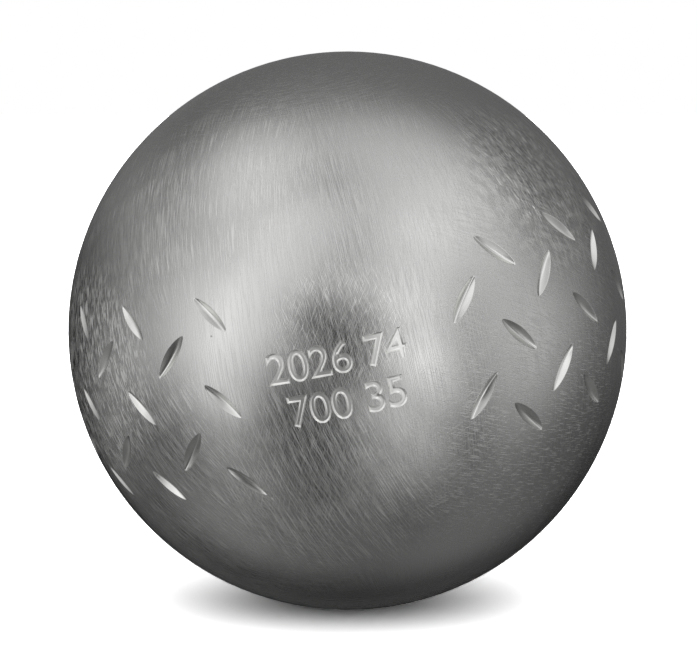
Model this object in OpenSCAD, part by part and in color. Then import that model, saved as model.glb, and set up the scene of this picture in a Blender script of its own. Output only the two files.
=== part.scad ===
// Petanque boule: a hollow steel playing ball, made as two half shells that are
// centred on a turned lip, welded all round and ground true.
// A band of short V cuts runs round it, with a bare field at the front.
// The origin is the ball's centre. +Z is up as the ball lies, and -Y is its front.
// Places on the ball are given as on a globe whose axis is the axis of the two
// shells: longitude runs from the front to the right, latitude from the weld up.

/* [Ball] */
// Outer diameter of the finished ball
ball_d = 74; // [70.5:0.5:80]
// Wall thickness of both half shells
wall = 6.15; // [5.2:0.05:8]

/* [Welded joint] */
// Thickness of the centring lip, which also backs the weld's root
lip_t = 1.5; // [1:0.1:2.2]
// Height of the centring lip, below the plane of the joint
lip_h = 1.6; // [0.8:0.1:3]
// Clearance beside and below the lip
lip_gap = 0.05; // [0.03:0.01:0.1]
// Width of the flat land where the half shells butt together
land_w = 1.2; // [0.6:0.1:1.6]
// Width of the weld groove at its root
groove_root_w = 1.0; // [0.6:0.1:2]
// Slope of each wall of the weld groove, from the plane of the joint
groove_slope = 33; // [15:1:40]

/* [V cuts] */
// Diameter of the disc that makes the cuts
cutter_d = 21.5; // [16:0.5:30]
// Angle between the two faces of that disc's rim
cutter_angle = 90; // [70:5:110]
// Depth of the cuts that lean to the right
right_cut_depth = 0.64; // [0.4:0.02:0.9]
// Depth of the cuts that lean to the left, before the runout
left_cut_depth = 0.56; // [0.3:0.02:0.8]
// Runout of the left-leaning cuts, which are deeper on the right of the ball
left_cut_runout = 0.1; // [0:0.02:0.2]

/* [Cut band] */
// Places for a column of cuts, all round the ball
column_places = 36; // [24:2:44]
// Places at the front that are left bare
bare_columns = 4; // [2:2:8]
// Longitude of the first column to the right of the bare field
band_start = 24.5; // [15:0.5:35]
// Latitude of the upper and lower cuts in a column of three
outer_row_lat = 16.5; // [13:0.5:22]
// Latitude of the two cuts in a column of two
inner_row_lat = 9.4; // [7:0.2:11]
// Lean of a cut from its meridian
cut_lean = 42; // [30:1:60]

/* [Lie of the ball] */
// Lean of the shells' axis to the left
lean_left = 12.1; // [0:0.1:45]
// Lean of the shells' axis to the front
lean_front = 4.1; // [0:0.1:45]

/* [Hidden] */

// Faces of the round surfaces when they are drawn as a mesh
ball_fn = 160;
cutter_fn = 192;

// How far a cutting solid runs past what it cuts
overrun = 2;

ball_r = ball_d / 2;
bore_r = ball_r - wall;
lip_r = bore_r + lip_t;
groove_root_r = lip_r + land_w;
cutter_r = cutter_d / 2;

// Angle between neighbouring columns of cuts
column_pitch = 360 / column_places;
cut_columns = column_places - bare_columns;

// Longitude at which the left-leaning cuts are deepest
runout_lon = 75;

// Half the length of the deepest cut
deepest_cut = max(right_cut_depth, left_cut_depth + left_cut_runout);
cut_half_l = sqrt(2 * deepest_cut * ball_r * cutter_r / (ball_r + cutter_r));

// How much of the cutter's rim is drawn, inwards and to each side of the cut
rim_h = 1.5 * deepest_cut;
rim_sweep = 1.2 * asin(cut_half_l / cutter_r);

// Half the weld groove's width, at a radius from the shells' axis
function groove_half_w(r) = groove_root_w / 2 + (r - groove_root_r) * tan(groove_slope);

// Depth of a left-leaning cut at a place on the ball
function left_depth(lon, lat) =
    left_cut_depth + left_cut_runout * cos(lat) * cos(lon - runout_lon);

// Turns its children from the shells' own axis to the ball's lie
module as_it_lies() {
    rotate([lean_front, -lean_left, 0]) children();
}

// The plain hollow ball that both half shells are cut from
module hollow_ball() {
    difference() {
        sphere(r = ball_r, $fn = ball_fn);
        sphere(r = bore_r, $fn = ball_fn);
    }
}

// Everything above the plane of the joint
module upper_side() {
    translate([-ball_d, -ball_d, 0]) cube([2 * ball_d, 2 * ball_d, ball_d]);
}

// Everything below the plane of the joint
module lower_side() {
    translate([-ball_d, -ball_d, -ball_d]) cube([2 * ball_d, 2 * ball_d, ball_d]);
}

// The weld groove's wedge section, swept round the shells' axis
module groove_ring() {
    outer_r = ball_r + overrun;
    rotate_extrude($fn = ball_fn)
        polygon([
            [groove_root_r, -groove_root_w / 2],
            [outer_r, -groove_half_w(outer_r)],
            [outer_r, groove_half_w(outer_r)],
            [groove_root_r, groove_root_w / 2],
        ]);
}

// The V rim of the disc cutter, as far round as it can reach the ball.
// The disc's axis is the X axis, and it meets the ball on its +Y side.
module cutter_rim() {
    rim_half_w = rim_h * tan(cutter_angle / 2);
    rotate([0, 90, 0])
        rotate_extrude(angle = 2 * rim_sweep, start = 90 - rim_sweep, $fn = cutter_fn)
            polygon([
                [cutter_r - rim_h, -rim_half_w],
                [cutter_r, 0],
                [cutter_r - rim_h, rim_half_w],
            ]);
}

// One cutter, sunk into the ball at a place and turned from the meridian
module cutter_at(lon, lat, lean, depth) {
    rotate([0, 0, lon])
        rotate([-lat, 0, 0])
            rotate([0, lean, 0])
                translate([0, depth - ball_r - cutter_r, 0])
                    cutter_rim();
}

// A column of two cuts that lean to the right
module right_leaning_column(lon) {
    for (lat = [-inner_row_lat, inner_row_lat])
        cutter_at(lon, lat, cut_lean, right_cut_depth);
}

// A column of three cuts that lean to the left
module left_leaning_column(lon) {
    for (lat = [-outer_row_lat, 0, outer_row_lat])
        cutter_at(lon, lat, -cut_lean, left_depth(lon, lat));
}

// All the cutters of the band, column by column round the ball
module band_cutters() {
    for (i = [0 : cut_columns - 1]) {
        lon = band_start + i * column_pitch;
        if (i % 2 == 0) right_leaning_column(lon);
        else left_leaning_column(lon);
    }
}

// Upper half shell, with the lip that centres it in the lower one
module upper_half_shell() {
    color("silver") as_it_lies()
        difference() {
            intersection() {
                hollow_ball();
                union() {
                    upper_side();
                    translate([0, 0, -lip_h]) cylinder(r = lip_r, h = lip_h + overrun, $fn = ball_fn);
                }
            }
            groove_ring();
            band_cutters();
        }
}

// Lower half shell, with the recess that takes the upper one's lip
module lower_half_shell() {
    recess_depth = lip_h + lip_gap;
    color("silver") as_it_lies()
        difference() {
            intersection() {
                hollow_ball();
                lower_side();
            }
            translate([0, 0, -recess_depth])
                cylinder(r = lip_r + lip_gap, h = recess_depth + overrun, $fn = ball_fn);
            groove_ring();
            band_cutters();
        }
}

// Weld metal that fills the groove, ground flush with the ball
module weld_bead() {
    color("silver") as_it_lies()
        difference() {
            intersection() {
                groove_ring();
                sphere(r = ball_r, $fn = ball_fn);
            }
            band_cutters();
        }
}

upper_half_shell();
lower_half_shell();
weld_bead();
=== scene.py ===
"""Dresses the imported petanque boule: a hollow steel ball of two half shells and a weld.

The ball's skin is one relief over the sphere: the band of V cuts, the engraved figures and
a few nicks. It is meshed as a whole and then shared out between the two half shells and the
weld bead, so the relief runs across the weld as it does on a ball that is cut after welding.
Places on the ball are (longitude, latitude) in degrees, from the front to the right and from
the weld up, about the axis of the shells. Lengths are millimetres until a mesh is written.
"""

import logging
import math
from collections.abc import Callable, Sequence
from dataclasses import dataclass, field
from enum import Enum, IntEnum

import bmesh
import bpy
import numpy as np
from mathutils import Matrix, Vector, kdtree
from mathutils.geometry import delaunay_2d_cdt, interpolate_bezier


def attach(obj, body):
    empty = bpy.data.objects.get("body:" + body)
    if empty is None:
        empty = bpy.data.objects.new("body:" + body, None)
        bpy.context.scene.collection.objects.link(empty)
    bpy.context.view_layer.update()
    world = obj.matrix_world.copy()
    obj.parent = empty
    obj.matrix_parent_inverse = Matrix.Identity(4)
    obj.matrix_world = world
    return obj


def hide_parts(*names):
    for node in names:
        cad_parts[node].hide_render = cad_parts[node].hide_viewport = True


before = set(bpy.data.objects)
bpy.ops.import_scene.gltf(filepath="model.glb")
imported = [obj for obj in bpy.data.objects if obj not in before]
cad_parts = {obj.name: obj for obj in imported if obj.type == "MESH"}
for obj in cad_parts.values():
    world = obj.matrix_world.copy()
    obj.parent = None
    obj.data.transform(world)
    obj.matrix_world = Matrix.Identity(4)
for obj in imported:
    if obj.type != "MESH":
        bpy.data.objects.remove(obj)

Array = np.ndarray
Socket = bpy.types.NodeSocket
Tree = bpy.types.NodeTree

LOG = logging.getLogger("boule")
MM = 0.001
BODY = "root"
MAP_TOLERANCE = 1e-4  # within which places on the flat map are on one edge, in degrees
SEAM_TOLERANCE = 1e-5  # within which they are on a seam of the weld


def unit(vectors: Array) -> Array:
    """Scales vectors to a length of 1."""
    return vectors / np.linalg.norm(vectors, axis=-1, keepdims=True)


def cos_sin(degrees: float) -> tuple[float, float]:
    """Cosine and sine of an angle in degrees."""
    return math.cos(math.radians(degrees)), math.sin(math.radians(degrees))


def new_object(name: str, data: bpy.types.ID) -> bpy.types.Object:
    """Makes an object in the scene."""
    made = bpy.data.objects.new(name, data)
    bpy.context.scene.collection.objects.link(made)
    return made


class Finish(IntEnum):
    """The finishes of the ball's faces, in the order of a piece's material slots."""

    SATIN = 0
    MILLED = 1
    ENGRAVED = 2
    TURNED = 3


class Side(Enum):
    """The part of the skin that a piece has, by latitude from the weld."""

    UPPER = "upper"
    BEAD = "bead"
    LOWER = "lower"


# ---------------------------------------------------------------- places on the ball


@dataclass(frozen=True)
class BallSizes:
    """Sizes of the ball and its welded joint in millimetres, as the solids have them."""

    radius: float = 36.985  # a hair inside the solids' 37 mm, so the looks stay in their box
    bore_radius: float = 30.85
    lip_radius: float = 32.35  # of the lip that centres the shells
    lip_height: float = 1.6
    lip_gap: float = 0.05  # clearance beside and below the lip
    root_radius: float = 33.55  # of the weld groove's root
    root_half_width: float = 0.5
    groove_slope: float = 33.0  # of each wall of the groove, in degrees
    lean_left: float = 12.1  # of the shells' axis, as the ball lies
    lean_front: float = 4.1

    @property
    def seam_latitude(self) -> float:
        """Latitude in degrees at which the weld meets the upper shell on the surface."""
        slope = math.tan(math.radians(self.groove_slope))
        height = self.root_half_width + (self.radius - self.root_radius) * slope
        for _ in range(8):  # each round brings the height on the surface nearer
            reach = math.sqrt(self.radius**2 - height**2)
            height = self.root_half_width + (reach - self.root_radius) * slope
        return math.degrees(math.asin(height / self.radius))

    def lie(self) -> Array:
        """Rotation from the shells' own axes to the way the ball lies."""
        (cos_x, sin_x), (cos_y, sin_y) = cos_sin(self.lean_front), cos_sin(-self.lean_left)
        about_x = np.array([[1, 0, 0], [0, cos_x, -sin_x], [0, sin_x, cos_x]])
        about_y = np.array([[cos_y, 0, sin_y], [0, 1, 0], [-sin_y, 0, cos_y]])
        return about_y @ about_x


SIZES = BallSizes()


def directions(places: Array) -> Array:
    """Turns places on the ball into unit vectors about the shells' axis.

    Args:
        places: (n, 2) longitudes and latitudes in degrees.

    Returns:
        (n, 3) unit vectors.
    """
    lon, lat = np.radians(places).T
    return np.stack([np.cos(lat) * np.sin(lon), -np.cos(lat) * np.cos(lon), np.sin(lat)], 1)


def places_of(vectors: Array) -> Array:
    """Turns vectors about the shells' axis into places on the ball.

    Args:
        vectors: (n, 3) vectors of any length.

    Returns:
        (n, 2) longitudes and latitudes in degrees.
    """
    x, y, z = unit(vectors).T
    return np.degrees(np.stack([np.arctan2(x, -y), np.arcsin(z)], 1))


def tangents(places: Array) -> tuple[Array, Array]:
    """Gives the directions east and north at places on the ball.

    Args:
        places: (n, 2) longitudes and latitudes in degrees.

    Returns:
        The (n, 3) unit vectors east and north.
    """
    lon, lat = np.radians(places).T
    east = np.stack([np.cos(lon), np.sin(lon), np.zeros_like(lon)], 1)
    north = np.stack([-np.sin(lat) * np.sin(lon), np.sin(lat) * np.cos(lon), np.cos(lat)], 1)
    return east, north


# ---------------------------------------------------------------- crease lines


@dataclass
class CreaseNet:
    """Points and crease lines on the ball that its skin is meshed through."""

    points: list[tuple[float, float]] = field(default_factory=list)
    edges: list[tuple[int, int]] = field(default_factory=list)

    def dot(self, places: Array) -> None:
        """Adds places that need no line between them."""
        self.points.extend(map(tuple, places.tolist()))

    def line(self, places: Array, closed: bool = False) -> None:
        """Adds a crease line.

        Args:
            places: (n, 2) places along the line.
            closed: Whether the last place joins the first.
        """
        first = len(self.points)
        self.dot(places)
        count = len(places)
        last = count if closed else count - 1
        self.edges.extend((first + i, first + (i + 1) % count) for i in range(last))


# ---------------------------------------------------------------- the band of V cuts


@dataclass(frozen=True)
class DiscCutter:
    """The disc cutter that mills the V cuts, with the marks that it leaves."""

    radius: float = 10.75
    root_round: float = 0.27  # rounding of the V's root, from the worn edge of the disc
    edge_round: float = 0.04  # rounding of the cut's rim, from the polishing after it
    chatter: float = 0.002  # height of the ripple that the cutter's teeth leave
    chatter_pitch: float = 1.4
    step: float = 0.33  # length of a facet along a cut
    longest: float = 6.0  # more than half a cut's length, where the search for its tip starts
    widest: float = 1.6  # more than half its width

    def soften(self, sink: Array) -> Array:
        """Rounds the rim, where a cut's depth passes through nothing."""
        edge = self.edge_round
        near = (sink + edge) ** 2 / (4 * edge)
        return np.where(sink <= -edge, 0.0, np.where(sink >= edge, sink, near))


@dataclass(frozen=True)
class VCut:
    """One V cut of the band."""

    lon: float
    lat: float
    lean: float  # from its meridian to the right, in degrees
    depth: float
    phase: float  # of the ripple in it, in radians
    cutter: DiscCutter

    def axes(self) -> Array:
        """The cut's own directions: outwards, along it and across it, as rows."""
        place = np.array([[self.lon, self.lat]])
        east, north = tangents(place)
        cos, sin = cos_sin(self.lean)
        return np.concatenate([directions(place), cos * north + sin * east,
                               cos * east - sin * north])

    def at(self, along: Array, across: Array) -> Array:
        """Gives the directions of points beside the cut's middle.

        Args:
            along: Arc lengths along the cut, in millimetres.
            across: Arc lengths across it.

        Returns:
            (n, 3) unit vectors about the shells' axis.
        """
        u, a, b = self.axes()
        s, w = along[:, None] / SIZES.radius, across[:, None] / SIZES.radius
        return (u * np.cos(s) + a * np.sin(s)) * np.cos(w) + b * np.sin(w)

    def sink(self, vectors: Array) -> Array:
        """Depth of the cut's faces below the ball at each unit vector, before its rim."""
        count = len(vectors)
        return sink_of_cuts(vectors, np.repeat(self.axes()[None], count, 0),
                            np.full(count, self.depth), np.full(count, self.phase), self.cutter)

    def solve(self, test: Callable[[Array], Array], most: float, count: int) -> Array:
        """Halves an interval until it closes on the places where a test turns false.

        Args:
            test: Says for arc lengths whether each is still inside.
            most: A length that is outside.
            count: How many lengths are sought together.

        Returns:
            The lengths.
        """
        low, high = np.zeros(count), np.full(count, most)
        for _ in range(30):  # far below a micrometre
            middle = (low + high) / 2
            inside = test(middle)
            low, high = np.where(inside, middle, low), np.where(inside, high, middle)
        return low

    def half_widths(self, level: float) -> tuple[Array, Array]:
        """Outline of the cut at a depth.

        Args:
            level: The depth, in millimetres.

        Returns:
            Arc lengths along the cut and its half width at each, nothing at both tips.
        """
        zero = np.zeros(1)
        reach, back = (
            self.solve(lambda s: self.sink(self.at(way * s, zero)) > level,
                       self.cutter.longest, 1)[0] for way in (1, -1))
        # the sine below draws the facets together at the tips, so there are 1.3 times as many
        steps = max(8, round(1.3 * (reach + back) / self.cutter.step))
        turn = np.linspace(-math.pi / 2, math.pi / 2, steps + 1)
        along = (reach - back) / 2 + (reach + back) / 2 * np.sin(turn)
        inner = along[1:-1]
        width = self.solve(lambda w: self.sink(self.at(inner, w)) > level,
                           self.cutter.widest, len(inner))
        return along, np.concatenate([[0.0], width, [0.0]])

    def draw(self, net: CreaseNet) -> None:
        """Adds the cut's rim, faces and root to a net of creases."""
        edge = self.cutter.edge_round
        for level in (-edge, 0.0, edge):
            along, width = self.half_widths(level)
            right = self.at(along, width)
            left = self.at(along[-2:0:-1], -width[-2:0:-1])
            net.line(places_of(np.concatenate([right, left])), closed=True)
        net.line(places_of(self.at(along, 0 * along)))
        for share in (0.25, 0.5, 0.75):
            across = (share * width)[1:-1]
            net.dot(places_of(self.at(along[1:-1], across)))
            net.dot(places_of(self.at(along[1:-1], -across)))


def sink_of_cuts(vectors: Array, axes: Array, depth: Array, phase: Array,
                 cutter: DiscCutter) -> Array:
    """Depth of the V faces below the ball along unit vectors, each for its own cut.

    Args:
        vectors: (n, 3) unit vectors about the shells' axis.
        axes: (n, 3, 3) directions outwards, along and across, of each one's cut.
        depth: (n,) depths of those cuts.
        phase: (n,) phases of the ripple in them.
        cutter: The disc that makes them.

    Returns:
        (n,) depths in millimetres, below zero outside a cut.
    """
    out, along, across = np.einsum("nij,nj->in", axes, vectors)
    centre = SIZES.radius + cutter.radius - depth
    reach = np.full(len(vectors), SIZES.radius)
    for _ in range(5):  # each round brings the reach nearer to the disc's rim
        x, z = reach * along, reach * across
        ripple = cutter.chatter * np.sin(2 * math.pi * x / cutter.chatter_pitch + phase)
        rim = cutter.radius + cutter.root_round + ripple
        rim = rim - np.sqrt(z * z + cutter.root_round**2)
        reach = (centre - np.sqrt(np.maximum(rim * rim - x * x, 0.0))) / out
    return SIZES.radius - reach


@dataclass
class CutBand:
    """The band of V cuts: columns of two and of three by turns, and a bare field."""

    places: int = 36  # for a column, all round the ball
    bare: int = 4  # of them at the front
    start: float = 24.5  # longitude of the first column to the right of the bare field
    outer_row: float = 16.5  # latitude of the outer cuts in a column of three
    inner_row: float = 9.4  # and of the cuts in a column of two
    lean: float = 42.0
    right_depth: float = 0.64  # of the cuts that lean to the right
    left_depth: float = 0.56
    left_runout: float = 0.1  # how much deeper the left-leaning ones are at the next longitude
    runout_lon: float = 75.0
    reach: float = 7.0  # how far from its middle a cut can have an effect, in degrees
    seed: int = 7
    batch: int = 40000  # places that are worked out together
    cutter: DiscCutter = DiscCutter()

    def __post_init__(self) -> None:
        """Lays out the cuts and keeps their figures as arrays."""
        self.cuts = self.lay_out()
        self._axes = np.stack([cut.axes() for cut in self.cuts])
        self._depth = np.array([cut.depth for cut in self.cuts])
        self._phase = np.array([cut.phase for cut in self.cuts])

    def lay_out(self) -> list[VCut]:
        """All the cuts of the band, column by column to the right of the bare field."""
        rng = np.random.default_rng(self.seed)
        cuts = []
        for column in range(self.places - self.bare):
            lon = self.start + column * 360.0 / self.places
            lon -= 360.0 * (lon > 180.0)
            leans_right = column % 2 == 0
            rows = (-self.inner_row, self.inner_row) if leans_right else (
                -self.outer_row, 0.0, self.outer_row)
            for lat in rows:
                depth, lean = self.right_depth, self.lean
                if not leans_right:
                    runout = cos_sin(lat)[0] * cos_sin(lon - self.runout_lon)[0]
                    depth, lean = self.left_depth + self.left_runout * runout, -self.lean
                cuts.append(VCut(lon, lat, lean, depth, rng.uniform(0, 2 * math.pi), self.cutter))
        return cuts

    def sink(self, places: Array) -> Array:
        """Depth of the nearest cut at places on the ball, before its rim is rounded."""
        sink = np.full(len(places), -1.0)
        near = np.flatnonzero(np.abs(places[:, 1]) < self.outer_row + self.reach)
        for some in np.array_split(near, max(1, len(near) // self.batch)):
            vectors = directions(places[some])
            cosine = vectors @ self._axes[:, 0].T
            which = cosine.argmax(1)
            close = cosine.max(1) > cos_sin(self.reach)[0]
            some, vectors, which = some[close], vectors[close], which[close]
            sink[some] = sink_of_cuts(vectors, self._axes[which], self._depth[which],
                                      self._phase[which], self.cutter)
        return sink

    def relief(self, places: Array) -> Array:
        """Depth of the band's cuts at places on the ball."""
        return self.cutter.soften(self.sink(places))

    def draw(self, net: CreaseNet) -> None:
        """Adds every cut to a net of creases."""
        for cut in self.cuts:
            cut.draw(net)


# ---------------------------------------------------------------- engraved figures


@dataclass(frozen=True)
class FigureRow:
    """One row of engraved figures."""

    figures: str
    left: float  # where it starts, to the right of the front, in millimetres
    base: float  # its base line above the weld's middle


@dataclass
class Engraving:
    """Plain figures engraved into the bare field: year and diameter, mass and hardness."""

    rows: Sequence[FigureRow] = (
        FigureRow("2026 74", -9.95, 1.1),
        FigureRow("700 35", -8.4, -4.4),
    )
    cap_height: float = 3.7
    tracking: float = 1.0  # advance of a figure against the face's own
    embolden: float = 0.13  # how far the outline stands out from the face's own
    depth: float = 0.19
    wall: float = 0.27  # width of the rounded wall
    margin: float = 1.0  # of bare metal round the figures that is still looked at
    straight: float = 1e-5  # bend under which a side of the face's outline is straight
    batch: int = 4000  # places that are worked out together

    def __post_init__(self) -> None:
        """Draws the outlines and keeps their sides as arrays."""
        self.outlines = [loop for row in self.rows for loop in self.outline(row)]
        self._start = np.concatenate(self.outlines)
        self._end = np.concatenate([np.roll(loop, -1, 0) for loop in self.outlines])

    def outline(self, row: FigureRow) -> list[Array]:
        """Closed outlines of a row of figures, with the metal that is cut on their left.

        Args:
            row: The row.

        Returns:
            (n, 2) loops in millimetres, right of the front and above the weld's middle.
        """
        text = bpy.data.curves.new("figure_outline", "FONT")
        text.body = row.figures
        text.space_character = self.tracking
        holder = new_object("figure_outline", text)
        bpy.context.view_layer.update()
        curve = holder.to_curve(bpy.context.evaluated_depsgraph_get())
        loops = [self.flatten(spline) for spline in curve.splines]
        holder.to_curve_clear()
        bpy.data.objects.remove(holder)
        bpy.data.curves.remove(text)
        tall = max(loop[:, 1].max() for loop in loops)
        low = min(loop[:, 1].min() for loop in loops)
        scale = self.cap_height / (tall - low)
        loops = [self.tidy(loop * scale) for loop in loops]
        loops = [self.turn(loop, loops) for loop in loops]
        shift = np.array([row.left, row.base])
        return [self.inset(loop, -self.embolden) + shift for loop in loops]

    def flatten(self, spline: bpy.types.Spline) -> Array:
        """Turns a closed Bezier outline into points."""
        knots = spline.bezier_points
        points: list[Vector] = []
        for i, knot in enumerate(knots):
            after = knots[(i + 1) % len(knots)]
            bend = (knot.handle_right - knot.co).cross(after.co - knot.co).length
            bend += (after.handle_left - after.co).cross(after.co - knot.co).length
            points += interpolate_bezier(knot.co, knot.handle_right, after.handle_left,
                                         after.co, 2 if bend < self.straight else 7)[:-1]
        return np.array([(p.x, p.y) for p in points])

    @staticmethod
    def tidy(loop: Array, least: float = 0.06) -> Array:
        """Drops points that stand closer together than the least side."""
        kept = [loop[0]]
        for point in loop[1:]:
            if np.linalg.norm(point - kept[-1]) >= least:
                kept.append(point)
        if np.linalg.norm(kept[-1] - kept[0]) < least:
            kept.pop()
        return np.array(kept)

    @staticmethod
    def turn(loop: Array, loops: list[Array]) -> Array:
        """Runs an outline so that the figure's own metal is on its left."""
        following = np.roll(loop, -1, 0)
        area = (loop[:, 0] * following[:, 1] - following[:, 0] * loop[:, 1]).sum() / 2
        around = sum(other is not loop and crossings(loop[:1], other, np.roll(other, -1, 0))[0] % 2
                     for other in loops)
        is_hole = around % 2 == 1
        return loop[::-1] if (area > 0) == is_hole else loop

    @staticmethod
    def inset(loop: Array, distance: float) -> Array:
        """Moves an outline to its left by a distance, with mitred corners."""
        side = unit(np.roll(loop, -1, 0) - loop)
        left = np.stack([-side[:, 1], side[:, 0]], 1)
        before = np.roll(left, 1, 0)
        spread = 1 + (left * before).sum(1, keepdims=True)
        return loop + distance * (left + before) / np.maximum(spread, 0.25)

    @staticmethod
    def to_places(points: Array) -> Array:
        """Turns millimetres on the bare field into places on the ball."""
        return np.degrees(points / SIZES.radius)

    def relief(self, places: Array) -> Array:
        """Depth of the engraving at places on the ball."""
        depth = np.zeros(len(places))
        low = self.to_places(self._start.min(0) - self.margin)
        high = self.to_places(self._start.max(0) + self.margin)
        near = np.flatnonzero(((places > low) & (places < high)).all(1))
        for some in np.array_split(near, max(1, len(near) // self.batch)):
            points = np.radians(places[some]) * SIZES.radius
            inner = np.flatnonzero(crossings(points, self._start, self._end) % 2)
            away = distance_to_sides(points[inner], self._start, self._end)
            across = np.minimum(away / self.wall, 1.0)
            depth[some[inner]] = self.depth * np.sin(across * math.pi / 2)
        return depth

    def draw(self, net: CreaseNet) -> None:
        """Adds the outlines and the foot of their walls to a net of creases."""
        for loop in self.outlines:
            net.line(self.to_places(loop), closed=True)
            for share in (0.3, 0.65, 1.0):
                net.line(self.to_places(self.inset(loop, share * self.wall)), closed=True)


def crossings(points: Array, start: Array, end: Array) -> Array:
    """Counts how many sides a level line to the right of each point crosses.

    Args:
        points: (n, 2) points.
        start: (m, 2) first ends of the sides.
        end: (m, 2) other ends.

    Returns:
        (n,) counts. An odd one is inside.
    """
    y = points[:, 1:2]
    spans = (start[:, 1] > y) != (end[:, 1] > y)
    rise = end[:, 1] - start[:, 1]
    share = (y - start[:, 1]) / np.where(rise == 0, 1.0, rise)
    return (spans & (points[:, :1] < start[:, 0] + share * (end[:, 0] - start[:, 0]))).sum(1)


def distance_to_sides(points: Array, start: Array, end: Array) -> Array:
    """Distance from each point to the nearest of the sides."""
    side = end - start
    offset = points[:, None] - start
    share = ((offset * side).sum(2) / (side * side).sum(1)).clip(0, 1)
    return np.linalg.norm(offset - share[..., None] * side, axis=2).min(1, initial=1e3)


# ---------------------------------------------------------------- nicks


@dataclass(frozen=True)
class Nick:
    """One small dent, as an oval."""

    lon: float
    lat: float
    half_length: float
    half_width: float
    turn: float  # from east to north, in degrees
    depth: float
    rings: Sequence[tuple[float, int]] = ((0.72, 12), (0.4, 8))  # share of the way out, places
    rim_places: int = 14

    def oval(self, places: Array) -> Array:
        """How far out each place is, from nothing at the middle to 1 at the rim."""
        east, north = (np.radians(places - [self.lon, self.lat]) * SIZES.radius).T
        east = east * cos_sin(self.lat)[0]
        cos, sin = cos_sin(self.turn)
        along, across = cos * east + sin * north, cos * north - sin * east
        return np.hypot(along / self.half_length, across / self.half_width)

    def ring(self, share: float, count: int) -> Array:
        """Places round the nick at a share of the way out to its rim."""
        angle = np.arange(count) * 2 * math.pi / count
        along = share * self.half_length * np.cos(angle)
        across = share * self.half_width * np.sin(angle)
        cos, sin = cos_sin(self.turn)
        east = (cos * along - sin * across) / cos_sin(self.lat)[0]
        north = sin * along + cos * across
        return np.array([self.lon, self.lat]) + np.degrees(
            np.stack([east, north], 1) / SIZES.radius)


@dataclass
class Nicks:
    """The few nicks of a ball that has been handled, and some more round its back."""

    shown: Sequence[Nick] = (
        Nick(-14.2, 50.4, 0.95, 0.12, 62.0, 0.02),
        Nick(-15.0, 49.2, 0.8, 0.11, 12.0, 0.015),
        Nick(49.4, 21.9, 0.42, 0.26, 118.0, 0.07),
        Nick(-25.5, 12.4, 0.14, 0.12, 0.0, 0.05),
        Nick(-21.7, -20.7, 0.34, 0.12, -35.0, 0.05),
        Nick(68.4, -11.8, 0.24, 0.18, 40.0, 0.05),
    )
    seeded: int = 26
    seed: int = 41
    lowest: float = 24.0  # latitude at which the seeded ones begin, clear of the band
    highest: float = 62.0
    clear: float = 75.0  # longitude to which the front has none of them
    reach: float = 4.0  # more than half the size of any nick, in degrees

    def __post_init__(self) -> None:
        """Adds the seeded nicks, clear of the band and of the front."""
        rng = np.random.default_rng(self.seed)
        self.nicks = list(self.shown)
        while len(self.nicks) < len(self.shown) + self.seeded:
            lon = rng.uniform(-174, 174)
            lat = math.degrees(math.asin(rng.uniform(-0.9, 0.9)))
            length, width = rng.uniform(0.2, 0.7), rng.uniform(0.1, 0.22)
            turn, depth = rng.uniform(0, 180), rng.uniform(0.015, 0.05)
            if self.lowest < abs(lat) < self.highest and abs(lon) > self.clear:
                self.nicks.append(Nick(lon, lat, length, width, turn, depth))

    def relief(self, places: Array) -> Array:
        """Depth of the nicks at places on the ball."""
        depth = np.zeros(len(places))
        for nick in self.nicks:
            near = np.flatnonzero(np.abs(places - [nick.lon, nick.lat]).max(1) < self.reach)
            inner = 1 - np.minimum(nick.oval(places[near]), 1.0) ** 2
            depth[near] += nick.depth * inner**2
        return depth

    def draw(self, net: CreaseNet) -> None:
        """Adds rings of places round each nick to a net of creases."""
        for nick in self.nicks:
            net.line(nick.ring(1.0, nick.rim_places), closed=True)
            for share, count in nick.rings:
                net.dot(nick.ring(share, count))
            net.dot(np.array([[nick.lon, nick.lat]]))


# ---------------------------------------------------------------- the skin


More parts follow.
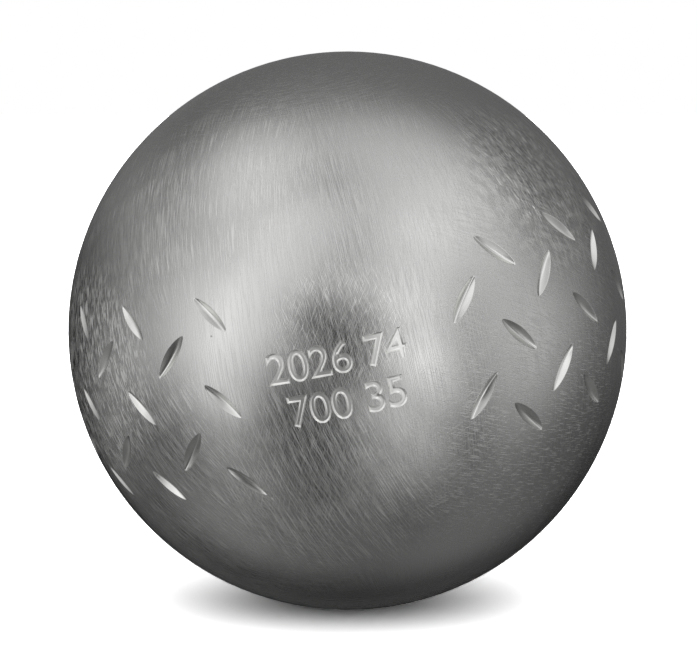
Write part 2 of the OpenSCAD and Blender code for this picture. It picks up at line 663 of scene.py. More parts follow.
@dataclass
class BallSkin:
    """The ball's outer surface as one mesh of triangles, with its relief."""

    band: CutBand
    engraving: Engraving
    nicks: Nicks
    grid: float = 2.5  # spacing of the plain mesh, in degrees
    clearance: float = 0.85  # how near a crease the plain mesh may come, in degrees
    cap_latitude: float = 75.0
    west: float = -180.5  # the meridian where the flat net is cut, between two columns
    merge: float = 1e-7  # distance within which points of the flat map are one, in degrees
    inset: float = 0.04  # how far into its triangle a corner's slope is taken, as a share
    nudge: float = 2e-5  # how far apart the slope's two depths are from it, in degrees

    def __post_init__(self) -> None:
        """Meshes the skin."""
        self.seam = SIZES.seam_latitude
        self.places, self.triangles = self.weld_meridian(*self.mesh_flat())
        self.add_caps()
        self.radii = SIZES.radius - self.relief(self.places)
        self.middles = self.places[self.triangles].mean(1)
        self.sides = np.select([self.middles[:, 1] > self.seam, self.middles[:, 1] < -self.seam],
                               [0, 2], 1)
        self.finishes = np.full(len(self.triangles), int(Finish.SATIN))
        self.finishes[self.engraving.relief(self.middles) > 0] = Finish.ENGRAVED
        self.finishes[self.band.sink(self.middles) > 0] = Finish.MILLED
        self.normals = self.corner_normals()

    def relief(self, places: Array) -> Array:
        """Depth of everything that is cut or dented, at places on the ball."""
        return (self.band.relief(places) + self.engraving.relief(places)
                + self.nicks.relief(places))

    def mesh_flat(self) -> tuple[Array, Array]:
        """Meshes the flat map of the ball between its two caps, through all the creases.

        Returns:
            Places, with those of the western edge again at the eastern one, and triangles.
        """
        net = CreaseNet()
        lons = self.west + np.arange(0, 360 + self.grid / 2, self.grid)
        self.band.draw(net)
        self.engraving.draw(net)
        self.nicks.draw(net)
        for lat in (self.seam, -self.seam):
            net.line(np.stack([lons, np.full(len(lons), lat)], 1))
        tree = kdtree.KDTree(len(net.points))
        for i, point in enumerate(net.points):
            tree.insert((*point, 0.0), i)
        tree.balance()
        lats = np.arange(-self.cap_latitude, self.cap_latitude + self.grid / 2, self.grid)
        for lat in lats:
            shift = 0 if abs(lat) == self.cap_latitude else (round(lat / self.grid) % 2) / 2
            row = lons.copy()
            row[1:-1] += shift * self.grid * (row[1:-1] < lons[-2])
            near = [tree.find((lon, lat, 0.0))[2] for lon in row]
            keep = np.array(near) > self.clearance
            net.dot(np.stack([row, np.full(len(row), lat)], 1)[keep])
        points = [Vector(point) for point in net.points]
        result = delaunay_2d_cdt(points, net.edges, [], 0, self.merge, False)
        return np.array(result[0]), np.array(result[2])

    def weld_meridian(self, places: Array, triangles: Array) -> tuple[Array, Array]:
        """Joins the map's eastern edge to its western one.

        Args:
            places: Places of the flat map.
            triangles: Its triangles.

        Returns:
            The places and triangles of the closed belt.
        """
        east = np.flatnonzero(places[:, 0] > self.west + 360 - MAP_TOLERANCE)
        west = np.flatnonzero(places[:, 0] < self.west + MAP_TOLERANCE)
        east, west = east[places[east, 1].argsort()], west[places[west, 1].argsort()]
        if len(east) != len(west) or (
                np.abs(places[east, 1] - places[west, 1]).max() > MAP_TOLERANCE):
            raise ValueError("the two edges of the flat map don't match")
        stand_in = np.arange(len(places))
        stand_in[east] = west
        kept = np.unique(stand_in)
        number = np.zeros(len(places), int)
        number[kept] = np.arange(len(kept))
        return places[kept], number[stand_in[triangles]]

    def add_caps(self) -> None:
        """Closes the belt with a cap of rings at each pole."""
        for sign in (1, -1):
            away = np.abs(self.places[:, 1] - sign * self.cap_latitude)
            edge = np.flatnonzero(away < MAP_TOLERANCE)
            row = edge[self.places[edge, 0].argsort()]
            faces = []
            for lat in np.arange(self.cap_latitude + self.grid, 90, self.grid):
                following = np.arange(len(row)) + len(self.places)
                ring = self.places[row].copy()
                ring[:, 1] = sign * lat
                self.places = np.concatenate([self.places, ring])
                a, b = row, np.roll(row, -1)
                c, d = following, np.roll(following, -1)
                faces += [np.stack([a, b, d], 1), np.stack([a, d, c], 1)]
                row = following
            pole = len(self.places)
            self.places = np.concatenate([self.places, [[0.0, sign * 90.0]]])
            faces.append(np.stack([row, np.roll(row, -1), np.full(len(row), pole)], 1))
            cap = np.concatenate(faces)
            self.triangles = np.concatenate([self.triangles, cap if sign > 0 else cap[:, ::-1]])

    def corner_normals(self) -> Array:
        """Normals of the relief at the triangles' corners, a little way into each triangle.

        Returns:
            (n, 3, 3) unit normals, by triangle and corner.
        """
        corners = self.places[self.triangles]
        apart = corners[..., 0] - corners[:, :1, 0]
        corners[..., 0] += 360.0 * ((apart < -180).astype(float) - (apart > 180))
        inward = self.inset * (corners.mean(1, keepdims=True) - corners)
        spots = (corners + inward).reshape(-1, 2)
        slopes = []
        for nudge in self.nudge * np.eye(2):
            rise = self.relief(spots + nudge) - self.relief(spots - nudge)
            slopes.append(rise / (2 * math.radians(self.nudge)) / SIZES.radius)
        at = corners.reshape(-1, 2)
        east, north = tangents(at)
        cos_lat = np.maximum(np.cos(np.radians(at[:, 1])), 1e-3)  # not nothing at the poles
        normal = directions(at) + slopes[1][:, None] * north + (
            slopes[0] / cos_lat)[:, None] * east
        return unit(normal).reshape(-1, 3, 3)


# ---------------------------------------------------------------- the three pieces


@dataclass
class PieceMesh:
    """The faces of one piece while it is put together."""

    points: list[Array] = field(default_factory=list)
    faces: list[list[int]] = field(default_factory=list)
    normals: list[Array] = field(default_factory=list)
    finishes: list[int] = field(default_factory=list)
    count: int = 0

    def add_points(self, points: Array) -> Array:
        """Adds (n, 3) points in the shells' axes and returns their numbers."""
        numbers = np.arange(len(points)) + self.count
        self.points.append(points)
        self.count += len(points)
        return numbers

    def add_face(self, corners: Sequence[int], normals: Array, finish: Finish) -> None:
        """Adds one face with a normal for each of its corners."""
        self.faces.append([int(c) for c in corners])
        self.normals.append(normals)
        self.finishes.append(int(finish))


@dataclass
class WeldedPiece:
    """A piece of the welded ball: its share of the skin, closed by what lies inside."""

    name: str
    node: str
    slot: str
    side: Side
    skin: BallSkin

    def build(self) -> bpy.types.Object:
        """Builds the piece's closed mesh in the way the ball lies, in metres."""
        mesh = PieceMesh()
        numbers = self.take_skin(mesh)
        self.close(mesh, numbers)
        data = bpy.data.meshes.new(self.name)
        points = np.concatenate(mesh.points) @ SIZES.lie().T * MM
        data.from_pydata(points.tolist(), [], mesh.faces)
        data.polygons.foreach_set("material_index", mesh.finishes)
        data.shade_smooth()
        normals = np.concatenate(mesh.normals) @ SIZES.lie().T
        data.normals_split_custom_set(normals.tolist())
        data.update()
        return new_object(self.name, data)

    def take_skin(self, mesh: PieceMesh) -> Array:
        """Copies the piece's share of the skin.

        Args:
            mesh: The mesh to add it to.

        Returns:
            The new number of each of the skin's points, -1 where it isn't used.
        """
        skin = self.skin
        mine = np.flatnonzero(skin.sides == list(Side).index(self.side))
        used = np.unique(skin.triangles[mine])
        numbers = np.full(len(skin.places), -1)
        numbers[used] = mesh.add_points(directions(skin.places[used])
                                        * skin.radii[used, None])
        for i in mine:
            mesh.add_face(numbers[skin.triangles[i]], skin.normals[i],
                          Finish(int(skin.finishes[i])))
        return numbers

    def border(self, sign: int) -> Array:
        """The skin's points along one seam of the weld, eastwards."""
        away = np.abs(self.skin.places[:, 1] - sign * self.skin.seam)
        found = np.flatnonzero(away < SEAM_TOLERANCE)
        return found[self.skin.places[found, 0].argsort()]

    def ring(self, mesh: PieceMesh, lons: Array, radius: float, height: float) -> Array:
        """Adds a ring of points about the shells' axis.

        Args:
            mesh: The mesh to add it to.
            lons: The longitudes of its points.
            radius: Its radius.
            height: Its height above the weld's middle.

        Returns:
            The numbers of its points.
        """
        angle = np.radians(lons)
        return mesh.add_points(np.stack([radius * np.sin(angle), -radius * np.cos(angle),
                                         np.full(len(lons), height)], 1))

    def strip(self, mesh: PieceMesh, first: Array, second: Array, finish: Finish,
              eastward: bool, inward: bool = False) -> None:
        """Joins two rings that have the same longitudes.

        Args:
            mesh: The mesh to add the faces to.
            first: Numbers of the first ring's points.
            second: Numbers of the second's.
            finish: The faces' finish.
            eastward: Whether the faces run east along the first ring.
            inward: Whether the strip is part of the bore, and is shaded round.
        """
        at = np.concatenate(mesh.points)
        for i in range(len(first)):
            j = (i + 1) % len(first)
            corners = [first[i], first[j], second[j], second[i]]
            if not eastward:
                corners = [first[j], first[i], second[i], second[j]]
            spots = at[corners]
            flat = np.cross(spots[2] - spots[0], spots[3] - spots[1])
            mesh.add_face(corners, unit(-spots if inward else np.tile(flat, (4, 1))), finish)

    def close(self, mesh: PieceMesh, numbers: Array) -> None:
        """Closes the piece behind its skin.

        Args:
            mesh: The mesh to add the faces to.
            numbers: The mesh's number of each of the skin's points.
        """
        raise NotImplementedError


@dataclass
class HalfShell(WeldedPiece):
    """A half shell: the bevel of the weld groove, the land, the lip's fit and the bore."""

    gap: float = 0.0  # clearance beside and below the lip, for the shell with its recess
    bore_rings: int = 30

    def profile(self, sign: int) -> list[tuple[float, float]]:
        """Gives the section of the joint, from the groove's root to the bore.

        Args:
            sign: 1 for the upper shell and -1 for the lower one.

        Returns:
            (radius, height) of the bevel's foot, the land, and the lip or its recess.
        """
        wall, bottom = SIZES.lip_radius + self.gap, -SIZES.lip_height - self.gap
        inner = math.sqrt(SIZES.bore_radius**2 - bottom**2)
        return [(SIZES.root_radius, sign * SIZES.root_half_width), (SIZES.root_radius, 0.0),
                (wall, 0.0), (wall, bottom), (inner, bottom)]

    def close(self, mesh: PieceMesh, numbers: Array) -> None:
        """Turns the section of the joint and of the bore about the shells' axis."""
        sign = 1 if self.side is Side.UPPER else -1
        border = self.border(sign)
        lons = self.skin.places[border, 0]
        row = numbers[border]
        section = self.profile(sign)
        for radius, height in section:
            following = self.ring(mesh, lons, radius, height)
            self.strip(mesh, row, following, Finish.TURNED, eastward=sign < 0)
            row = following
        bore = SIZES.bore_radius
        start = math.asin(section[-1][1] / bore)
        angles = np.linspace(start, sign * math.pi / 2, self.bore_rings + 1)[1:-1]
        for angle in angles:
            following = self.ring(mesh, lons, bore * math.cos(angle), bore * math.sin(angle))
            self.strip(mesh, row, following, Finish.TURNED, eastward=sign < 0, inward=True)
            row = following
        pole = mesh.add_points(np.array([[0.0, 0.0, sign * bore]]))[0]
        at = np.concatenate(mesh.points)
        for i in range(len(row)):
            j = (i + 1) % len(row)
            corners = [row[j], row[i], pole] if sign > 0 else [row[i], row[j], pole]
            mesh.add_face(corners, unit(-at[corners]), Finish.TURNED)


@dataclass
class WeldBead(WeldedPiece):
    """The weld metal that fills the groove."""

    def close(self, mesh: PieceMesh, numbers: Array) -> None:
        """Adds the two fusion faces and the root between them."""
        upper, lower = self.border(1), self.border(-1)
        upper_lons = self.skin.places[upper, 0]
        lower_lons = self.skin.places[lower, 0]
        top = self.ring(mesh, upper_lons, SIZES.root_radius, SIZES.root_half_width)
        bottom = self.ring(mesh, lower_lons, SIZES.root_radius, -SIZES.root_half_width)
        self.strip(mesh, numbers[upper], top, Finish.TURNED, eastward=True)
        self.zip_rings(mesh, (top, upper_lons), (bottom, lower_lons))
        self.strip(mesh, bottom, numbers[lower], Finish.TURNED, eastward=True)

    def zip_rings(self, mesh: PieceMesh, top: tuple[Array, Array],
                  bottom: tuple[Array, Array]) -> None:
        """Joins two rings whose points stand at different longitudes.

        Args:
            mesh: The mesh to add the triangles to.
            top: Numbers and longitudes of the upper ring's points.
            bottom: Those of the lower ring's.
        """
        at = np.concatenate(mesh.points)
        i = j = 0
        rows = [(np.append(ring, ring[0]), np.append(lons, lons[0] + 360))
                for ring, lons in (top, bottom)]
        (ring_a, lon_a), (ring_b, lon_b) = rows
        while i < len(ring_a) - 1 or j < len(ring_b) - 1:
            end_a, end_b = i == len(ring_a) - 1, j == len(ring_b) - 1
            if end_b or (not end_a and lon_a[i + 1] <= lon_b[j + 1]):
                corners = [ring_a[i], ring_a[i + 1], ring_b[j]]
                i += 1
            else:
                corners = [ring_a[i], ring_b[j + 1], ring_b[j]]
                j += 1
            mesh.add_face(corners, unit(-at[corners] * [1, 1, 0]), Finish.TURNED)


# ---------------------------------------------------------------- finishes


def linear(code: str) -> tuple[float, float, float, float]:
    """Turns an sRGB hex colour into linear light.

    Args:
        code: The colour, such as "#C8C6C2".

    Returns:
        Red, green, blue and an alpha of 1.
    """
    parts = [int(code[i:i + 2], 16) / 255 for i in (1, 3, 5)]
    red, green, blue = (c / 12.92 if c <= 0.04045 else ((c + 0.055) / 1.055) ** 2.4
                        for c in parts)
    return red, green, blue, 1.0


def add_node(tree: Tree, kind: str, settings: dict | None = None,
             **inputs: object) -> bpy.types.Node:
    """Adds a node with its settings and what goes into it.

    Args:
        tree: The node tree.
        kind: The node's type name.
        settings: Values of its own properties.
        **inputs: Values or output sockets for its inputs, by the input's name with spaces
            as underscores, or as "i" and its number.

    Returns:
        The node.
    """
    node = tree.nodes.new(kind)
    for key, value in (settings or {}).items():
        setattr(node, key, value)
    for key, value in inputs.items():
        numbered = key[0] == "i" and key[1:].isdigit()
        socket = node.inputs[int(key[1:]) if numbered else key.replace("_", " ")]
        if isinstance(value, Socket):
            tree.links.new(value, socket)
        else:
            socket.default_value = value
    return node


def calc(tree: Tree, operation: str, *values: Socket | float) -> Socket:
    """Adds a math node and returns its result."""
    inputs = {f"i{i}": value for i, value in enumerate(values)}
    return add_node(tree, "ShaderNodeMath", {"operation": operation}, **inputs).outputs[0]


def climb(tree: Tree, value: Socket, start: float, end: float, top: float = 1.0) -> Socket:
    """Adds a node that goes smoothly from 0 to its top while a value goes from start to end."""
    return add_node(tree, "ShaderNodeMapRange", {"interpolation_type": "SMOOTHSTEP"},
                    Value=value, From_Min=start, From_Max=end, To_Max=top).outputs[0]


def empty_tree(owner: bpy.types.Material | bpy.types.World | bpy.types.Light) -> Tree:
    """Turns an owner's nodes on and empties its tree."""
    owner.use_nodes = True
    owner.node_tree.nodes.clear()
    return owner.node_tree


def new_material(name: str) -> tuple[bpy.types.Material, Tree]:
    """Makes an empty node material and returns it with its tree."""
    material = bpy.data.materials.new(name)
    return material, empty_tree(material)


class Run(Enum):
    """How the scratches of a family lie on the ball."""

    MERIDIANS = "meridians"
    PARALLELS = "parallels"
    STRAIGHT = "straight"


@dataclass(frozen=True)
class Scratches:
    """One family of fine scratches that run nearly the same way.

    A scratch scatters more than the metal beside it, so it is bright among dark reflections
    and a little darker among bright ones. Its colour can also be brightened, a painted sheen
    that makes it glint among dark reflections; a cloud is such painted sheen alone.
    """

    width: float  # of one scratch, in millimetres
    length: float
    depth: float
    scatter: float  # how much rougher a scratch is than the metal
    painted_sheen: float  # how much it brightens the metal's colour, as painted sheen
    thin: float = 0.5  # how much of the pattern is no scratch
    full: float = 0.64  # where in the pattern a scratch is at its deepest
    towards: tuple[float, float, float] = (0.0, 0.0, 1.0)  # the side that has them
    slant: float = 90.0  # from level, anticlockwise, in degrees
    starts: float = 0.86  # how near to that side they begin, as a cosine
    most: float = 0.98  # and where they are at their thickest
    run: Run = Run.STRAIGHT

    def lane(self, tree: Tree, spot: Socket, globe: Socket) -> Socket:
        """Adds the nodes that lay the pattern on the ball.

        Args:
            tree: The material's node tree.
            spot: The place on the ball, in metres.
            globe: The arcs east and north about the shells' axis, in metres.

        Returns:
            Coordinates across and along the scratches, in their widths and lengths.
        """
        size = (self.width * MM, self.length * MM, 1.0)
        if self.run is not Run.STRAIGHT:
            east_first = self.run is Run.MERIDIANS
            return add_node(tree, "ShaderNodeMapping", {"vector_type": "TEXTURE"}, Vector=globe,
                            Scale=size if east_first else (size[1], size[0], 1.0)).outputs[0]
        out = Vector(self.towards).normalized()
        level = Vector((0, 0, 1)).cross(out).normalized()
        cos, sin = cos_sin(self.slant)
        along = cos * level + sin * out.cross(level)
        axes = Matrix((along.cross(out), along, out)).transposed().to_euler()
        return add_node(tree, "ShaderNodeMapping", {"vector_type": "TEXTURE"}, Vector=spot,
                        Rotation=axes, Scale=size).outputs[0]

    def add_to(self, tree: Tree, spot: Socket, globe: Socket) -> Socket:
        """Adds the family's nodes.

        Args:
            tree: The material's node tree.
            spot: The place on the ball, in metres.
            globe: The arcs east and north about the shells' axis, in metres.

        Returns:
            The pattern, from 0 on the metal to 1 in a scratch.
        """
        noise = add_node(tree, "ShaderNodeTexNoise", {"noise_dimensions": "2D"},
                         Vector=self.lane(tree, spot, globe), Scale=1.0, Detail=1.0,
                         Roughness=0.5).outputs[0]
        cut = climb(tree, noise, self.thin, self.full)
        side = Vector(self.towards).normalized() / (SIZES.radius * MM)
        near = add_node(tree, "ShaderNodeVectorMath", {"operation": "DOT_PRODUCT"}, i0=spot,
                        i1=side).outputs["Value"]
        if self.run is not Run.STRAIGHT:
            near = calc(tree, "ABSOLUTE", near)
        return calc(tree, "MULTIPLY", cut, climb(tree, near, self.starts, self.most))


AXIS = tuple(SIZES.lie()[:, 2])  # of the shells, as the ball lies


@dataclass(frozen=True)
class SatinSteel:
    """Hardened carbon steel, turned and then satin polished on a belt.

    The belt's fine scratches cross in several directions, and give a soft sheen that is
    streaked where bright and dark reflections meet. The real ones are a few hundredths of a
    millimetre wide, and are drawn as wide as they need to be to show. Many are also drawn
    with a painted sheen: their colour is brightened so that they glint among dark reflections.
    """

    name: str
    colour: str = "#C4C4C3"  # of the belt-polished skin, a little dull
    bare: str = "#FAFAF8"  # painted sheen: the near-white that scratches and clouds are brightened towards
    roughness: float = 0.25  # blurs the lamps to soft edges, as the belt's finish does
    scratches: Sequence[Scratches] = (
        Scratches(0.1, 7.0, 0.003, 0.08, 0, 0.53, 0.68, AXIS, 0, 0.92, 0.7, Run.MERIDIANS),
        Scratches(0.1, 7.0, 0.005, 0.12, 0, 0.53, 0.68, AXIS, 0, 0.7, 0.95, Run.PARALLELS),
        # the upper front
        Scratches(0.1, 5.0, 0.004, 0.12, 0.15, 0.53, 0.68, (-0.02, -0.83, 0.56), 103, 0.87, 0.97),
        Scratches(0.1, 4.0, 0.002, 0.1, 0, 0.55, 0.7, (0.33, -0.85, 0.4), 86, 0.9, 0.98),
        Scratches(0.1, 5.0, 0.004, 0.15, 0.45, 0.56, 0.68, (-0.48, -0.7, 0.53), 108, 0.88, 0.98),
        # the middle of the front
        Scratches(0.09, 3.0, 0.001, 0.04, 0.6, 0.61, 0.68, (-0.02, -0.99, 0.08), 116, 0.96, 0.99),
        Scratches(0.09, 2.5, 0.001, 0.04, 0.6, 0.61, 0.68, (-0.02, -0.99, 0.08), 70, 0.97, 0.99),
        # long ones on the lower front
        Scratches(0.1, 8.0, 0.003, 0.1, 0.9, 0.58, 0.67, (-0.1, -0.88, -0.44), 113, 0.9, 0.99),
        Scratches(0.09, 4.0, 0.002, 0.1, 0.6, 0.58, 0.68, (-0.06, -0.88, -0.46), 122, 0.88, 0.98),
        Scratches(0.09, 3.0, 0.001, 0.05, 0.5, 0.6, 0.68, (-0.14, -0.9, -0.4), 78, 0.94, 0.99),
        # the upper right: clouds of painted sheen, fine and coarse scratches
        Scratches(1.0, 1.8, 0.0, 0, 0.35, 0.44, 0.6, (0.66, -0.5, 0.56), 104, 0.92, 0.98),
        Scratches(0.12, 2.5, 0.001, 0.08, 0.3, 0.55, 0.68, (0.64, -0.52, 0.57), 104, 0.92, 0.98),
        Scratches(0.18, 1.4, 0.002, 0.1, 0.8, 0.6, 0.67, (0.64, -0.5, 0.58), 98, 0.96, 0.99),
        # the right
        Scratches(0.1, 3.0, 0.005, 0.14, 0, 0.53, 0.68, (0.68, -0.68, 0.27), 157, 0.84, 0.97),
        Scratches(0.13, 1.8, 0.008, 0.2, 0.2, 0.58, 0.7, (0.63, -0.72, -0.28), 170, 0.84, 0.97),
        Scratches(0.1, 3.0, 0.001, 0.08, 0.2, 0.58, 0.7, (0.37, -0.86, -0.35), 35, 0.9, 0.98),
        # the left: clouds of painted sheen, fine and coarse scratches
        Scratches(0.8, 2.2, 0.0, 0, 0.1, 0.42, 0.62, (-0.92, -0.38, 0.1), 118, 0.84, 0.96),
        Scratches(0.1, 4.0, 0.005, 0.15, 0.3, 0.57, 0.68, (-0.8, -0.5, 0.3), 120, 0.86, 0.97),
        Scratches(0.24, 2.2, 0.008, 0.2, 1.0, 0.58, 0.64, (-0.9, -0.41, -0.12), 112, 0.9, 0.97),
        Scratches(0.22, 1.6, 0.008, 0.1, 0.9, 0.58, 0.66, (-0.88, -0.45, -0.12), 96, 0.9, 0.97),
        # the lower left
        Scratches(0.12, 4.0, 0.004, 0.15, 0.6, 0.56, 0.67, (-0.6, -0.66, -0.44), 122, 0.88, 0.97),
        Scratches(0.12, 4.0, 0.002, 0.1, 0.2, 0.54, 0.68, (-0.36, -0.62, -0.69), 152, 0.88, 0.98),
    )

    def material(self) -> bpy.types.Material:
        """Builds the finish."""
        material, tree = new_material(self.name)
        spot = add_node(tree, "ShaderNodeTexCoord").outputs["Object"]
        globe = self.globe(tree, spot)
        height: Socket | float = 0.0
        gloss: Socket | float = self.roughness
        painted_sheen: Socket | float = 0.0
        for family in self.scratches:
            pattern = family.add_to(tree, spot, globe)
            height = calc(tree, "MULTIPLY_ADD", pattern, -family.depth * MM, height)
            gloss = calc(tree, "MULTIPLY_ADD", pattern, family.scatter, gloss)
            # painted sheen: brightens the colour where this family's pattern lies
            if family.painted_sheen:
                painted_sheen = calc(tree, "MULTIPLY_ADD", pattern, family.painted_sheen, painted_sheen)
        bump = add_node(tree, "ShaderNodeBump", Height=height, Strength=1.0, Distance=1.0)
        # the satin colour, brightened towards near-white by the painted sheen, a painted highlight
        colour = add_node(tree, "ShaderNodeMix", {"data_type": "RGBA"}, i0=painted_sheen,
                          i6=linear(self.colour), i7=linear(self.bare)).outputs[2]
        shader = add_node(tree, "ShaderNodeBsdfPrincipled", Base_Color=colour,
                          Metallic=1.0, Roughness=gloss, Normal=bump.outputs[0])
        add_node(tree, "ShaderNodeOutputMaterial", Surface=shader.outputs[0])
        return material

    @staticmethod
    def globe(tree: Tree, spot: Socket) -> Socket:
        """Adds nodes that give the arcs east and north about the shells' axis, in metres."""
        turned = add_node(tree, "ShaderNodeMapping", {"vector_type": "TEXTURE"}, Vector=spot,
                          Rotation=Matrix(SIZES.lie()).to_euler(),
                          Scale=(SIZES.radius * MM,) * 3).outputs[0]
        x, y, z = add_node(tree, "ShaderNodeSeparateXYZ", Vector=turned).outputs
        east = calc(tree, "ARCTAN2", x, calc(tree, "MULTIPLY", y, -1.0))
        arcs = add_node(tree, "ShaderNodeCombineXYZ", X=east, Y=calc(tree, "ARCSINE", z))
        return add_node(tree, "ShaderNodeVectorMath", {"operation": "SCALE"},
                        i0=arcs.outputs[0], Scale=SIZES.radius * MM).outputs[0]


@dataclass(frozen=True)
class ToolCutSteel:
    """Bare steel as a tool leaves it, without the belt's scratches."""

    name: str
    colour: str
    roughness: float

    def material(self) -> bpy.types.Material:
        """Builds the finish."""
        material, tree = new_material(self.name)
        shader = add_node(tree, "ShaderNodeBsdfPrincipled", Base_Color=linear(self.colour),
                          Metallic=1.0, Roughness=self.roughness)
        add_node(tree, "ShaderNodeOutputMaterial", Surface=shader.outputs[0])
        return material


# ---------------------------------------------------------------- the studio


@dataclass(frozen=True)
class CameraView:
    """The camera of the photograph."""

    elevation: float = 5.0  # in degrees
    distance: float = 340.4  # from the ball's middle
    lens: float = 132.0
    aim: tuple[float, float, float] = (0.13, 0.0, -0.04)
    nearest: float = 0.01  # what it still sees, in metres

    def place(self) -> None:
        """Makes the scene's camera."""
        data = bpy.data.cameras.new("camera")
        data.lens = self.lens
        data.clip_start = self.nearest
        camera = new_object("camera", data)
        cos, sin = cos_sin(self.elevation)
        camera.location = Vector((0, -cos, sin)) * self.distance * MM
        gaze = Vector(self.aim) * MM - camera.location
        camera.rotation_euler = gaze.to_track_quat("-Z", "Y").to_euler()
        bpy.context.scene.camera = camera


def facing(azimuth: float, elevation: float, roll: float = 0.0) -> Matrix:
    """Axes at a place on a sphere round the ball.

    Args:
        azimuth: Degrees from the camera's side, to the right.
        elevation: Degrees from level, upwards.
        roll: Turn about the line to the ball, in degrees.

    Returns:
        A rotation whose columns point to the right, up and away from the ball.
    """
    (cos, sin), (level, up) = cos_sin(azimuth), cos_sin(elevation)
    away, right = Vector((sin * level, -cos * level, up)), Vector((cos, sin, 0.0))
    axes = Matrix((right, away.cross(right), away)).transposed()
    return axes @ Matrix.Rotation(math.radians(roll), 3, "Z")


def off_the_floor(tree: Tree, level: Socket | float) -> Socket:
    """Adds nodes that keep the ball from mirroring a light onto the floor.

    Args:
        tree: The node tree of the light.
        level: Its brightness.

    Returns:
        Its brightness, or 0 for light that has come by way of the ball.
    """
    path = add_node(tree, "ShaderNodeLightPath")
    return add_node(tree, "ShaderNodeMapRange", Value=path.outputs["Diffuse Depth"],
                    To_Min=level, To_Max=0.0).outputs[0]


@dataclass(frozen=True)
class SoftBox:
    """A soft box that faces the ball, given by where it stands and how it looks from there."""

    name: str
    azimuth: float
    elevation: float
    width: float  # across, as a share of its distance
    height: float
    roll: float
    level: float  # its brightness, where 1 is white
    distance: float = 1.2  # in metres

    def place(self) -> None:
        """Makes the lamp."""
        data = bpy.data.lights.new(self.name, "AREA")
        data.shape = "RECTANGLE"
        data.size, data.size_y = self.width * self.distance, self.height * self.distance
        data.energy = self.level * math.pi * data.size * data.size_y
        lamp = new_object(self.name, data)
        axes = facing(self.azimuth, self.elevation, self.roll)
        lamp.location = axes.col[2] * self.distance
        lamp.rotation_euler = axes.to_euler()
        lamp.visible_diffuse = False  # the floor has only the world's light
        tree = empty_tree(data)
        glow = add_node(tree, "ShaderNodeEmission", Strength=off_the_floor(tree, 1.0))
        add_node(tree, "ShaderNodeOutputLight", Surface=glow.outputs[0])


@dataclass(frozen=True)
class Pool:
    """A soft oval pool of light on the cloth of the light tent, or of shade."""

    azimuth: float
    elevation: float
    width: float  # half its width, as a share of the tent's radius
    height: float
    roll: float
    level: float  # below 0 where it is shade

    def add_to(self, tree: Tree, way: Socket) -> Socket:
        """Adds the pool's nodes.

        Args:
            tree: The cloth's node tree.
            way: The direction from the ball, of length 1.

        Returns:
            The pool's brightness.
        """
        axes = facing(self.azimuth, self.elevation, self.roll)
        oval = add_node(tree, "ShaderNodeMapping", {"vector_type": "TEXTURE"}, Vector=way,
                        Location=axes.col[2], Rotation=axes.to_euler(),
                        Scale=(self.width, self.height, max(self.width, self.height)))
        out = add_node(tree, "ShaderNodeVectorMath", {"operation": "LENGTH"},
                       i0=oval.outputs[0]).outputs["Value"]
        return climb(tree, out, 1.0, 0.0, self.level)


@dataclass(frozen=True)
class LightTent:
    """The cloth all round the ball, with soft pools of light and shade, and the lens's hole.

    Only reflections show it. The camera sees the white background through it.
    """

    radius: float = 3.0  # in metres
    level: float = 0.118  # its brightness between the pools, half way up
    rise: float = 0.115  # how much brighter the top is than the middle
    pools: Sequence[Pool] = (
        Pool(80.6, 21.6, 0.78, 1.96, 15, 1.29),
        Pool(35.3, -17.6, 0.33, 0.91, 10, 1.13),
        Pool(-71.6, 58.2, 0.79, 0.46, -12, 0.87),
        Pool(-70.6, 13.4, 2.2, 0.69, 10, 0.82),
        Pool(17.8, 5.8, 0.41, 1.97, 0, 0.55),
        Pool(-59, -15.1, 1.48, 0.48, -88, 0.5),
        Pool(-110.3, -55.9, 0.62, 0.43, 62, 0.29),
        Pool(1.5, 69.1, 0.76, 0.46, 5, -0.32),
        Pool(-116.7, 4, 1.98, 0.47, 18, -0.54),
        Pool(97.6, -16.3, 1.05, 0.62, -86, -0.66),
        Pool(89, 29.1, 0.83, 0.57, 44, -0.76),
        Pool(12.3, -10.7, 0.22, 1.21, 50, -0.8),
    )
    lens_hole: Pool = Pool(1.5, 8, 0.9, 0.21, -5, 1)

    def build(self) -> None:
        """Makes the tent."""
        material, tree = new_material("tent_cloth")
        spot = add_node(tree, "ShaderNodeTexCoord").outputs["Object"]
        way = add_node(tree, "ShaderNodeVectorMath", {"operation": "NORMALIZE"},
                       i0=spot).outputs[0]
        height = add_node(tree, "ShaderNodeSeparateXYZ", Vector=way).outputs["Z"]
        level = calc(tree, "MULTIPLY_ADD", height, self.rise, self.level)
        for pool in self.pools:
            level = calc(tree, "ADD", level, pool.add_to(tree, way))
        cloth_share = calc(tree, "SUBTRACT", 1.0, self.lens_hole.add_to(tree, way))
        level = calc(tree, "MAXIMUM", calc(tree, "MULTIPLY", level, cloth_share), 0.0)
        glow = add_node(tree, "ShaderNodeEmission", Strength=off_the_floor(tree, level))
        add_node(tree, "ShaderNodeOutputMaterial", Surface=glow.outputs[0])
        shape = bmesh.new()
        bmesh.ops.create_icosphere(shape, subdivisions=4, radius=self.radius)
        data = bpy.data.meshes.new("light_tent")
        shape.to_mesh(data)
        shape.free()
        data.materials.append(material)
        tent = new_object("light_tent", data)
        tent.visible_camera = tent.visible_diffuse = tent.visible_shadow = False


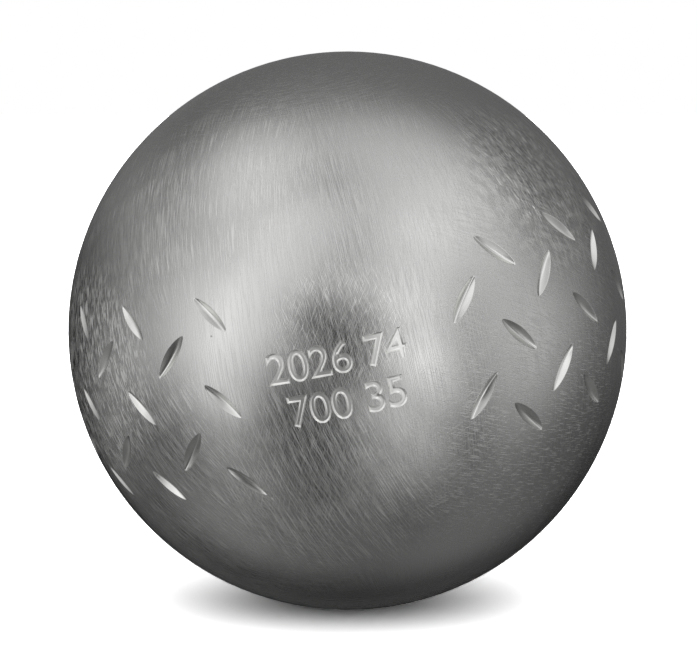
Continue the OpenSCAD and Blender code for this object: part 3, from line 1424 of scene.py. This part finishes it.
@dataclass(frozen=True)
class Studio:
    """A plain pale floor and plain soft light."""

    floor_drop: float = 37.0  # of the floor below the ball's middle
    floor_half: float = 20.0  # half its side, in metres
    floor_albedo: float = 0.8
    floor_shown: float = 2.8  # its brightness to the eye, at which only the contact shadow shows
    world_level: float = 1.36  # of the world's light on the floor from straight above
    world_front: float = 0.9  # how much more of it comes from the front than from above
    world_side: float = -1.46  # and from the sides
    boxes: Sequence[SoftBox] = (
        SoftBox("left_softbox", -36.7, 15.6, 0.53, 2.05, -21, 0.55),
        SoftBox("right_softbox", 26.3, 9.1, 0.45, 1.76, -17, 0.49),
    )
    tent: LightTent = LightTent()

    def build(self) -> None:
        """Makes the floor, the world, the lamps and the tent."""
        self.light_world()
        self.lay_floor()
        self.tent.build()
        for box in self.boxes:
            box.place()

    def light_world(self) -> None:
        """Lights the floor from a plain white world, more from the front than the sides."""
        world = bpy.data.worlds.new("white_world")
        bpy.context.scene.world = world
        tree = empty_tree(world)
        way = add_node(tree, "ShaderNodeTexCoord").outputs["Generated"]
        x, y, _ = add_node(tree, "ShaderNodeSeparateXYZ", Vector=way).outputs
        light = calc(tree, "MULTIPLY_ADD", y, -self.world_front, self.world_level)
        light = calc(tree, "MULTIPLY_ADD", calc(tree, "POWER", x, 2.0), self.world_side, light)
        light = calc(tree, "MAXIMUM", light, 0.0)
        level = add_node(tree, "ShaderNodeMapRange", Value=seen_by_eye(tree), To_Min=light,
                         To_Max=1.0)
        back = add_node(tree, "ShaderNodeBackground", Strength=level.outputs[0],
                        Color=(1, 1, 1, 1))
        add_node(tree, "ShaderNodeOutputWorld", Surface=back.outputs[0])
        # it stands outside the tent, so its light must not reach the ball through the cloth
        world.cycles_visibility.glossy = False

    def lay_floor(self) -> None:
        """Lays the floor under the ball."""
        material, tree = new_material("white_floor")
        colour = add_node(tree, "ShaderNodeMapRange", Value=seen_by_eye(tree),
                          To_Min=self.floor_albedo, To_Max=self.floor_shown)
        shader = add_node(tree, "ShaderNodeBsdfDiffuse", Color=colour.outputs[0])
        add_node(tree, "ShaderNodeOutputMaterial", Surface=shader.outputs[0])
        data = bpy.data.meshes.new("floor")
        half, z = self.floor_half, -self.floor_drop * MM
        data.from_pydata([(-half, -half, z), (half, -half, z), (half, half, z),
                          (-half, half, z)], [], [(0, 1, 2, 3)])
        data.materials.append(material)
        floor = new_object("floor", data)
        floor.visible_glossy = floor.visible_shadow = False


def seen_by_eye(tree: Tree) -> Socket:
    """Adds nodes that give 1 for what the camera, a reflection or glass shows."""
    path = add_node(tree, "ShaderNodeLightPath")
    some = add_node(tree, "ShaderNodeMath", {"operation": "ADD", "use_clamp": True},
                    i0=path.outputs["Is Camera Ray"], i1=path.outputs["Is Glossy Ray"])
    every = add_node(tree, "ShaderNodeMath", {"operation": "ADD", "use_clamp": True},
                     i0=some.outputs[0], i1=path.outputs["Is Transmission Ray"])
    return every.outputs[0]


# ---------------------------------------------------------------- the ball


def dress(piece: bpy.types.Object, part: WeldedPiece, finishes: Sequence[bpy.types.Material]
          ) -> None:
    """Gives a piece its finishes and ties it to the frame.

    Args:
        piece: The built piece.
        part: What it is.
        finishes: Its materials, in the order of Finish.
    """
    for material in finishes:
        piece.data.materials.append(material)
    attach(piece, BODY)
    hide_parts(part.node)
    LOG.info("%s: %d points, %d faces", piece.name, len(piece.data.vertices),
             len(piece.data.polygons))


def main() -> None:
    """Builds the scene."""
    logging.basicConfig(level=logging.INFO, format="%(name)s: %(message)s")
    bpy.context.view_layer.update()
    bpy.context.scene.view_settings.view_transform = "Standard"
    CameraView().place()
    Studio().build()
    skin = BallSkin(CutBand(), Engraving(), Nicks())
    LOG.info("skin: %d points, %d triangles", len(skin.places), len(skin.triangles))
    satin = SatinSteel("satin_polished_steel").material()
    weld = SatinSteel("satin_polished_weld").material()
    # clean faces of the V disc: each cut shows one face light and the other dark
    milled = ToolCutSteel("milled_steel", "#D6D6D4", 0.24).material()
    # pale and duller than the skin, so the figures show wherever the ball mirrors the dark
    engraved = ToolCutSteel("engraved_steel", "#ECECEA", 0.34).material()
    # grey and dull, as the lathe left the inside and the weld groove
    turned = ToolCutSteel("turned_steel", "#9C9C9A", 0.4).material()
    parts = [
        (HalfShell("upper_half_shell_skin", "upper_half_shell", "shell_steel", Side.UPPER,
                   skin), satin),
        (HalfShell("lower_half_shell_skin", "lower_half_shell", "shell_steel", Side.LOWER,
                   skin, gap=SIZES.lip_gap), satin),
        (WeldBead("weld_bead_skin", "weld_bead", "weld_steel", Side.BEAD, skin), weld),
    ]
    for part, outside in parts:
        dress(part.build(), part, (outside, milled, engraved, turned))


if __name__ == "__main__":
    main()
